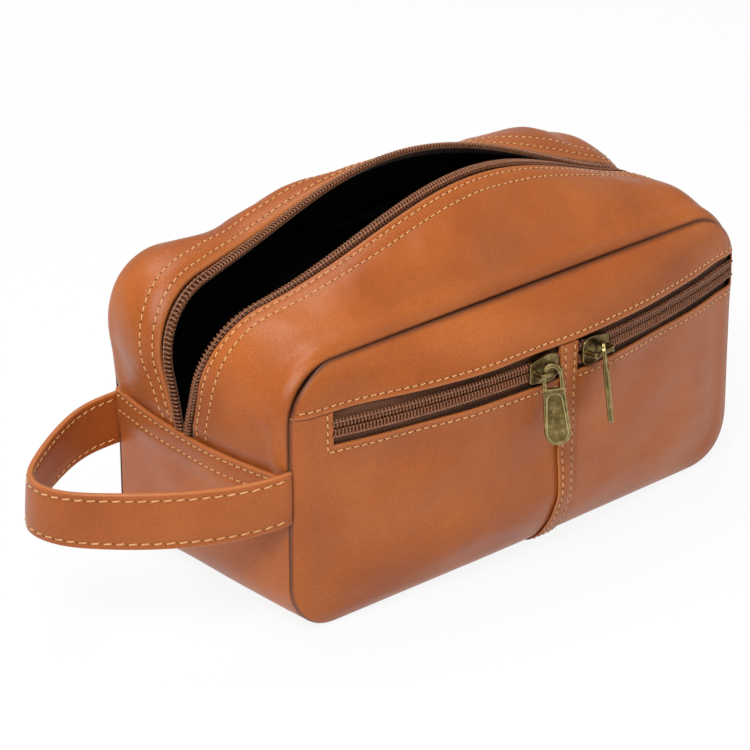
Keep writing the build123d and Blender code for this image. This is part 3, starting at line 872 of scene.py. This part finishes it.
def coilTube(centre, along, across, up, turns, phase=0.0):
    # a flattened helix, across * cos + up * sin round the row's line, each turn slanted
    angle = np.linspace(0, 2 * np.pi * turns, len(centre)) + phase
    line = (centre + across * (coil["wide"] * np.cos(angle))[:, None]
            + up * (coil["high"] * np.sin(angle))[:, None]
            + along * (coil["slant"] * np.cos(angle))[:, None])
    ahead = np.gradient(line, axis=0)
    ahead /= np.linalg.norm(ahead, axis=1, keepdims=True)
    first = np.cross(ahead, along)
    first /= np.linalg.norm(first, axis=1, keepdims=True)
    return tubeAround(line, first, np.cross(ahead, first), coil["thread"])


def cordTube(centre, across, up, turns):
    # the sewing cord on a coil row: a tube that swells once for each turn of the coil
    angle = np.linspace(0, 2 * np.pi * turns, len(centre))
    line = centre - across * coil["cordBack"] + up * (coil["high"] + coil["thread"] * 0.7)
    girth = coil["cord"] * (1 + coil["cordSwell"] * np.cos(angle))[:, None, None]
    return tubeAround(line, across, up, girth)


def coilRow(names, replaced, centre, along, across, up, turns, phase=0.0):
    # a coil and its sewing cord
    tube, outward = coilTube(centre, along, across, up, turns, phase)
    sheetPiece(names[0], tube, outward, coilNylon, wrapV=True, replaced=(replaced,))
    cord, outward = cordTube(centre, across, up, turns)
    sheetPiece(names[1], cord, outward, coilNylon, wrapV=True)


def buildMainCoil(name, side):
    turns = int(rimLength / coil["pitch"])
    run = np.linspace(0.0005, rimLength - 0.0005, turns * coil["steps"])
    step = 0.001

    def rowAt(back, depth):
        return fullEnds(rimPoint(run, side, np.full_like(run, back), np.full_like(run, depth)))

    centre = rowAt(coil["middle"], -0.0002)
    across = (rowAt(coil["middle"] - step, -0.0002) - centre) / step
    up = (rowAt(coil["middle"], 0.0008) - centre) / step
    along = np.gradient(centre, axis=0)
    along /= np.linalg.norm(along, axis=1, keepdims=True)
    coilRow(("mainCoil_" + name, "mainCoilCord_" + name), f"main_zip_{name}_coil",
            centre, along, across, up, turns)


for name, side in (("front", -1), ("back", 1)):
    buildTop(name, side)
    buildTopLining(name, side)
    buildMainTape(name, side)
    buildMainCoil(name, side)
print("mouth made")


# pocket zips
def zipFace(x, offset):
    # a place on the pocket zip's circle, with an offset outwards
    radius = (halfLength ** 2 + bag["frontBulge"] ** 2) / (2 * bag["frontBulge"])
    axisY = -halfDepth - bag["frontBulge"] + radius
    turn = np.arcsin(x / radius)
    reach = radius + offset
    way = np.stack([np.sin(turn), -np.cos(turn)], -1)
    return np.stack([reach * way[..., 0], axisY + reach * way[..., 1]], -1), way


zipRow = {"last": 0.1288, "sliderHalf": 0.0056, "spread": 0.0017, "spreadReach": 0.0026,
          "sinkFrom": 0.006, "sinkRun": 0.008, "sink": 0.0006}


def buildPocketZip(name, xFrom, xTo, sliderX, wideEnd):
    for part, way in (("upper", 1), ("lower", -1)):
        xs = np.linspace(xFrom - 0.003, min(xTo + 0.003, zipRow["last"]), 200)
        xx, ww = np.meshgrid(xs, np.linspace(0.0010, 0.0140, 14), indexing="ij")
        depth = tape["depth"] + tape["roll"] * np.exp(-(ww - 0.001) / tape["rollRun"])
        depth -= zipRow["sink"] * np.clip((ww - zipRow["sinkFrom"]) / zipRow["sinkRun"], 0, 1)
        flat, outward = zipFace(xx, depth)
        points = np.stack([flat[..., 0], flat[..., 1], bag["zipHeight"] + way * ww], -1)
        guide = np.stack([outward[..., 0], outward[..., 1], 0 * xx], -1)
        sheetPiece(f"{name}Tape_{part}", points, guide, tapeCloth, 0.0004,
                   (f"{name}_zip_{part}_tape",), uv=np.stack([xx, ww], -1))
        turns = int((xTo - xFrom + 0.001) / coil["pitch"])
        x = np.linspace(xFrom - 0.001, xTo, turns * coil["steps"])
        flat, outward = zipFace(x, 0 * x - 0.0002)
        # the rows part round the slider's post
        spare = zipRow["spread"] * bell(x, sliderX + wideEnd * zipRow["sliderHalf"], zipRow["spreadReach"])
        centre = np.stack([flat[:, 0], flat[:, 1], bag["zipHeight"] + way * (coil["middle"] + spare)], -1)
        up = np.stack([outward[:, 0], outward[:, 1], 0 * x], -1)
        across = np.zeros_like(centre)
        across[:, 2] = -way
        along = np.stack([-outward[:, 1], outward[:, 0], 0 * x], -1)
        coilRow((f"{name}Coil_{part}", f"{name}CoilCord_{part}"), f"{name}_zip_{part}_coil",
                centre, along, across, up, turns, np.pi if way < 0 else 0.0)


buildPocketZip("left", bag["leftWindow"], stripLeft, -0.0075, 1)
buildPocketZip("right", stripRight, bag["rightWindow"], 0.0235, -1)
print("pocket zips made")


# base gusset with its turned top edges
gusset = {"bandRaise": 0.0013, "bandFoot": 0.017, "inset": 0.0010, "turn": 0.0013, "noise": 0.0008,
          "swellRun": 0.085, "foldHeights": (0.0395, 0.0365, 0.0335), "foldDeep": 0.00035, "lining": 0.0545}


def gussetPath(run):
    # down the left end, round its corner, under the base, round the right corner and up
    r = bag["corner"]
    upright = bag["bandTop"] - r
    quarter = r * math.pi / 2
    flatRun = bag["length"] - 2 * r
    a = np.clip((run - upright) / r, 0, np.pi / 2)
    b = np.clip((run - upright - quarter - flatRun) / r, 0, np.pi / 2)
    flat = np.clip(run - upright - quarter, 0, flatRun)
    total = 2 * upright + 2 * quarter + flatRun
    x = -halfLength + r * (1 - np.cos(a)) + flat + r * np.sin(b)
    z = bag["bandTop"] - np.minimum(run, upright) - r * np.sin(a) + r * (1 - np.cos(b))
    z += np.maximum(run - (total - upright), 0)
    out = np.where((run < total / 2)[..., None],
                   np.stack([-np.cos(a), -np.sin(a)], -1), np.stack([np.sin(b), -np.cos(b)], -1))
    return x, z, out, total


def buildGusset():
    total = float(gussetPath(np.array([0.0]))[3])
    runs = finer([0.0, total], 0.0022, 0.016, 0.0006)
    edgeY = halfDepth - gusset["inset"]
    ys = finer([-edgeY, edgeY], 0.0022, 0.005, 0.0005)
    rr, yy = np.meshgrid(runs, ys, indexing="ij")
    x, z, out, _ = gussetPath(rr)
    fromTop = np.minimum(rr, total - rr)
    inside = edgeY - np.abs(yy)
    across = 1 - (yy / halfDepth) ** 2
    belly = end["rightSwell"] * across * np.sin(np.pi * np.clip(fromTop / gusset["swellRun"], 0, 1)) ** 1.2
    belly *= np.clip(out[..., 0], 0, 1)
    points = np.stack([x, yy, z], -1)
    ends = np.abs(out[..., 0]) ** 2
    dents = softNoise(points, 0.06, 51, 2) * gusset["noise"] * ends * np.clip(inside / 0.012, 0, 1)
    folds = np.zeros_like(rr)
    for k, height in enumerate(gusset["foldHeights"]):
        start = (-halfLength, -halfDepth + 0.004, height)
        folds += crease(points, start, (-halfLength, -halfDepth + 0.020 - 0.003 * k, height - 0.001), 0.0008)
    band = gusset["bandRaise"] * np.clip((gusset["bandFoot"] - fromTop) / 0.006, 0, 1) ** 0.8
    lift = belly + dents - gusset["foldDeep"] * folds + band - turnedEdge(fromTop, gusset["turn"])
    lift -= turnedEdge(inside, bag["seamRoll"])
    lift -= stitchGroove(fromTop - stitchLines["band"]) + stitchGroove(fromTop - stitchLines["bandSecond"])
    guide = inSection(out)
    points = fullEnds(points + guide * lift[..., None])
    points[..., 2] = np.maximum(points[..., 2], 0.00005)
    normal = outwardNormals(points, guide, each=True)
    # painted shade along the seams at the gusset's sides
    sheetPiece("baseGussetLeather", points, guide, tanHide, bag["leather"], ("base_gusset",),
               values={"paintedShade": seamShade(inside, 0.0010), "worn": 0.3 * bell(fromTop, 0.0006, 0.0009)})
    for distance in (stitchLines["band"], stitchLines["bandSecond"]):
        for place in (distance, total - distance):
            stitchRow(points, normal, placesIn(runs, place), np.linspace(4, len(ys) - 5, 400))

    # the lining inside it
    ys = np.linspace(-gusset["lining"], gusset["lining"], 30)
    rr, yy = np.meshgrid(np.linspace(0.001, total - 0.001, 160), ys, indexing="ij")
    x, z, out, _ = gussetPath(rr)
    points = np.stack([x, yy, z], -1)
    inset = 0.0019 + 0.0006 * (softNoise(points, 0.05, 61, 2) + 1)
    points = fullEnds(points - inSection(out) * inset[..., None])
    sheetPiece("gussetLiningCloth", points, -inSection(out), blackLining, 0.0, ("gusset_lining",),
               uv=np.stack([rr, yy], -1))


buildGusset()
print("gusset made")


# linings, bindings and pocket bags
def buildLining(name, side, bulge, cad):
    rows = np.linspace(0.0032, bag["height"] - 0.0032, 50)
    lines = np.linspace(-1, 1, 80)
    zz, uu = np.meshgrid(rows, lines, indexing="ij")
    xx = uu * (outlineWidth(zz) - 0.0031)
    y = halfDepth - bag["leather"] - 0.002 + bulgeAt(xx, zz, bulge)
    points = np.stack([xx, side * y, zz], -1)
    points[..., 1] += side * 0.0011 * softNoise(points * np.array([1.0, 1.0, 0.4]), 0.045, 71, 2)
    sheetPiece(name, points, np.array([0.0, -side, 0.0]), blackLining, 0.0003, cad,
               uv=np.stack([xx, zz], -1))


binding = {"inset": 0.0046, "thin": 0.0007, "half": 0.0022, "inward": 0.0052}


def buildBinding(name, side, cad):
    # a narrow cloth strip folded round the seam's raw edge: a rounded box section carried round the outline
    s = np.linspace(0, 2 * np.pi, 240, endpoint=False)
    a = np.arange(10) / 10 * 2 * np.pi
    inset = binding["inset"]
    r = bag["corner"] - inset
    w, h = halfLength - inset - r, bag["height"] / 2 - inset - r
    cx, cz = np.cos(s), np.sin(s)
    bx = np.clip(cx * 12, -1, 1) * w + cx * r
    bz = np.clip(cz * 12, -1, 1) * h + cz * r + bag["height"] / 2
    roll = np.cos(a)[None]
    outward = np.stack([cx[:, None] * roll, np.sin(a)[None] + 0 * s[:, None], cz[:, None] * roll], -1)
    middle = np.stack([bx, side * (halfDepth - binding["inward"]) + 0 * s, bz], -1)
    points = middle[:, None] + outward * np.array([binding["thin"], binding["half"], binding["thin"]])
    sheetPiece(name, points, outward, blackLining, wrapU=True, wrapV=True, replaced=(cad,),
               uv=np.stack([s[:, None] + 0 * a[None], a[None] + 0 * s[:, None]], -1) * 0.01)


pocketBag = {"low": 0.026, "high": 0.106, "near": 0.0029, "far": 0.0037, "thinner": 0.005, "gap": 0.0004}


def buildPocketBag(name, xFrom, xTo, cad):
    # a flat bag closed below: a front leaf, a turned foot and a back leaf in one sheet
    tt, xx = np.meshgrid(np.linspace(0, 1, 40), np.linspace(xFrom, xTo, 30), indexing="ij")
    low, high, frontTop = pocketBag["low"], pocketBag["high"], windowFoot - 0.001
    front = tt < 0.45
    z = np.where(front, frontTop + (low - frontTop) * tt / 0.45, low + (high - low) * (tt - 0.55) / 0.45)
    z = np.where((tt >= 0.45) & (tt <= 0.55), low - 0.001 * np.sin(np.pi * (tt - 0.45) / 0.1), z)
    turn = np.clip((tt - 0.45) / 0.1, 0, 1)
    near = halfDepth + bulgeAt(xx, z, bag["frontBulge"]) - pocketBag["near"]
    far = halfDepth + bulgeAt(xx, z, bag["frontBulge"] - pocketBag["thinner"]) - pocketBag["far"]
    y = near * (1 - turn) + np.minimum(far, near - pocketBag["gap"]) * turn
    points = np.stack([xx, -y, z], -1)
    sheetPiece(name, points, np.array([0.0, -1.0, 0.0]), blackLining, 0.0002, (cad,),
               uv=np.stack([xx, z], -1))


buildLining("frontLiningCloth", -1, 0.011, ("front_lining",))
buildLining("backLiningCloth", 1, 0.004, ("back_lining",))
buildBinding("frontSeamBindingCloth", -1, "front_seam_binding")
buildBinding("backSeamBindingCloth", 1, "back_seam_binding")
buildPocketBag("leftPocketBagCloth", bag["leftWindow"] - 0.002, stripLeft + 0.002, "left_pocket_bag")
buildPocketBag("rightPocketBagCloth", stripRight - 0.002, bag["rightWindow"] - 0.001, "right_pocket_bag")
print("inside made")


# the carry strap
strap = {"width": 0.0243, "thick": 0.0031, "centre": 0.0625, "root": -0.1302, "rootLift": 0.0042,
         "liftReach": 0.014, "lean": 0.06, "fullness": 0.12, "square": 0.35, "press": 0.00030}
strapWay = np.array([(0, 0), (16, 6.5), (45, 23), (66.5, 41), (78, 57), (78.5, 73), (64, 88.7), (40, 103.6),
                     (16, 113.5), (0, 115)]) / 1000


def smoothPath(points, count):
    # a natural cubic through the points, spaced by their chord lengths
    run = np.concatenate([[0], np.cumsum(np.linalg.norm(np.diff(points, axis=0), axis=1))])
    n = len(points)
    h = np.diff(run)
    system = np.eye(n)
    right = np.zeros((n, points.shape[1]))
    for i in range(1, n - 1):
        system[i, i - 1:i + 2] = h[i - 1], 2 * (h[i - 1] + h[i]), h[i]
        right[i] = 6 * ((points[i + 1] - points[i]) / h[i] - (points[i] - points[i - 1]) / h[i - 1])
    bend = np.linalg.solve(system, right)
    at = np.linspace(0, run[-1], count)
    i = np.clip(np.searchsorted(run, at, side="right") - 1, 0, n - 2)
    a, b = (run[i + 1] - at) / h[i], (at - run[i]) / h[i]
    a, b = a[:, None], b[:, None]
    curve = ((a ** 3 - a) * bend[i] + (b ** 3 - b) * bend[i + 1]) * (h[i] ** 2)[:, None] / 6
    return a * points[i] + b * points[i + 1] + curve


def buildStrap():
    flat = smoothPath(strapWay, 260)
    x = strap["root"] - flat[:, 0]
    y = -halfDepth + flat[:, 1]
    ahead = np.gradient(np.stack([x, y], -1), axis=0)
    ahead /= np.linalg.norm(ahead, axis=1, keepdims=True)
    outward = np.stack([ahead[:, 1], -ahead[:, 0]], -1)
    outward *= np.sign(np.sum(outward * np.stack([x - strap["root"] + 0.03, y], -1), 1, keepdims=True))
    # section: a flat loop, its two faces slightly full and its edges round
    a = (np.arange(56) + 0.5) / 56 * 2 * np.pi
    wide = np.sign(np.cos(a)) * np.abs(np.cos(a)) ** strap["square"]
    deep = np.sign(np.sin(a)) * np.abs(np.sin(a)) ** strap["square"]
    half = strap["width"] / 2
    up = wide * half
    edge = half - np.abs(up)
    full = 1 + strap["fullness"] * np.cos(np.pi * up / strap["width"])
    press = stitchGroove(edge - stitchLines["edge"], strap["press"])
    thick = deep * (strap["thick"] / 2 * full - press)
    frontHalf = np.arange(len(x)) < len(x) / 2
    rise = strap["rootLift"] * np.exp(-flat[:, 0] / strap["liftReach"]) * frontHalf
    lean = strap["lean"] * np.sin(np.pi * np.linspace(0, 1, len(x)))
    z = strap["centre"] + rise[:, None] + up[None] * np.cos(lean)[:, None]
    push = thick[None] + up[None] * np.sin(lean)[:, None] * -1
    acrossX, acrossY = outward[:, 0][:, None], outward[:, 1][:, None]
    px = x[:, None] + acrossX * push
    py = y[:, None] + acrossY * push
    points = np.stack([px, py, z + 0 * px], -1)
    points[..., 2] += softNoise(points, 0.09, 81, 1) * 0.0005
    points[..., 0] = np.minimum(points[..., 0], -halfLength + 0.0006)
    guide = np.stack([acrossX * deep[None], acrossY * deep[None], wide[None] + 0 * px], -1)
    worn = 0.35 * bell(np.clip(edge, 0, None), 0, 0.0006)[None] + 0 * px
    # painted shade on the strap where its root meets the bag's end
    rootShade = np.clip(1 - (strap["root"] + 0.0015 - x) / 0.004, 0, 1)[:, None] * 0.5 + 0 * px
    sheetPiece("carryStrapLeather", points, guide, strapHide, wrapV=True, body="strapRoot",
               replaced=("handle_strap",), values={"paintedShade": rootShade, "worn": worn})
    normal = outwardNormals(points, guide, each=True, wrapV=True)
    for face in (1, -1):
        for edgeSide in (1, -1):
            good = np.where((np.sign(deep) == face) & (np.sign(up) == edgeSide))[0]
            best = good[np.argmin(np.abs(edge[good] - stitchLines["edge"]))]
            addStitches("strapRoot", points[3:-3, best], normal[3:-3, best])


buildStrap()
finishStitches()
print("strap and stitching made")


# the sliders and pulls keep their solids
for name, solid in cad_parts.items():
    if name.endswith("_slider") or name.endswith("_pull"):
        solid.data.materials.clear()
        solid.data.materials.append(brass)


# floor, light and camera
studio = {"floor": 6.0, "under": -0.0004, "key": 19.0, "fill": 2.6, "rim": 11.0, "sky": 0.38, "white": 0.90,
          "floorTone": (0.90, 0.90, 0.90, 1)}


def aim(obj, place, back):
    # stands an object at a place, looking against the given direction with z up
    z = Vector(back).normalized()
    x = Vector((0, 0, 1)).cross(z).normalized()
    y = z.cross(x)
    obj.matrix_world = Matrix.Translation(Vector(place)) @ Matrix((x, y, z)).transposed().to_4x4()


def areaLight(name, place, target, size, power):
    data = bpy.data.lights.new(name, "AREA")
    data.shape = "DISK"
    data.size = size
    data.energy = power
    lamp = bpy.data.objects.new(name, data)
    bpy.context.scene.collection.objects.link(lamp)
    aim(lamp, np.array(place), np.array(place) - np.array(target))


areaLight("keyLight", (-1.0, -0.6, 1.25), (0, 0, 0.06), 0.7, studio["key"])
areaLight("fillLight", (1.1, -0.9, 0.8), (0, 0, 0.06), 1.2, studio["fill"])
areaLight("topLight", (-0.1, 0.5, 1.5), (0, 0, 0.08), 0.9, studio["rim"])

# the camera sees a white sky, while the bag is lit by a dimmer one
world = bpy.data.worlds.new("studioWorld")
bpy.context.scene.world = world
world.use_nodes = True
sky = world.node_tree
sky.nodes.clear()
seen = node(sky, "ShaderNodeLightPath").outputs["Is Camera Ray"]
dim = node(sky, "ShaderNodeBackground", {"Strength": studio["sky"]}).outputs[0]
white = node(sky, "ShaderNodeBackground", {"Strength": 1.0}).outputs[0]
either = node(sky, "ShaderNodeMixShader", {0: seen, 1: dim, 2: white}).outputs[0]
node(sky, "ShaderNodeOutputWorld", {0: either})

# the floor glows nearly white to the camera, to reflections and through glass, and keeps some shadow
floorMaterial, tree = newMaterial("paleFloor")
ray = node(tree, "ShaderNodeLightPath").outputs
seen = calc(tree, "MAXIMUM", ray["Is Camera Ray"], ray["Is Glossy Ray"])
seen = calc(tree, "MAXIMUM", seen, ray["Is Transmission Ray"])
share = calc(tree, "MULTIPLY", seen, studio["white"])
shade = node(tree, "ShaderNodeBsdfDiffuse", {"Color": studio["floorTone"]}).outputs[0]
glow = node(tree, "ShaderNodeEmission", {"Strength": 1.0}).outputs[0]
both = node(tree, "ShaderNodeMixShader", {0: share, 1: shade, 2: glow}).outputs[0]
node(tree, "ShaderNodeOutputMaterial", {"Surface": both})
half, under = studio["floor"] / 2, studio["under"]
corners = [(-half, -half, under), (half, -half, under), (half, half, under), (-half, half, under)]
floorMesh = bpy.data.meshes.new("floor")
floorMesh.from_pydata(corners, [], [(0, 1, 2, 3)])
floorMesh.materials.append(floorMaterial)
floor = bpy.data.objects.new("floor", floorMesh)
bpy.context.scene.collection.objects.link(floor)

view = {"azimuth": -41.7, "elevation": 25.6, "distance": 1.782, "target": (-0.0088, 0.0267, 0.0539),
        "lens": 192.0}
cameraData = bpy.data.cameras.new("camera")
cameraData.lens = view["lens"]
cameraData.sensor_width = 36.0
cameraData.sensor_fit = "HORIZONTAL"
cameraData.clip_start = 0.05
camera = bpy.data.objects.new("camera", cameraData)
bpy.context.scene.collection.objects.link(camera)
az, el = math.radians(view["azimuth"]), math.radians(view["elevation"])
backward = np.array([math.sin(az) * math.cos(el), -math.cos(az) * math.cos(el), math.sin(el)])
aim(camera, np.array(view["target"]) + backward * view["distance"], backward)
bpy.context.scene.camera = camera
bpy.context.scene.view_settings.view_transform = "Standard"
print("stage made")
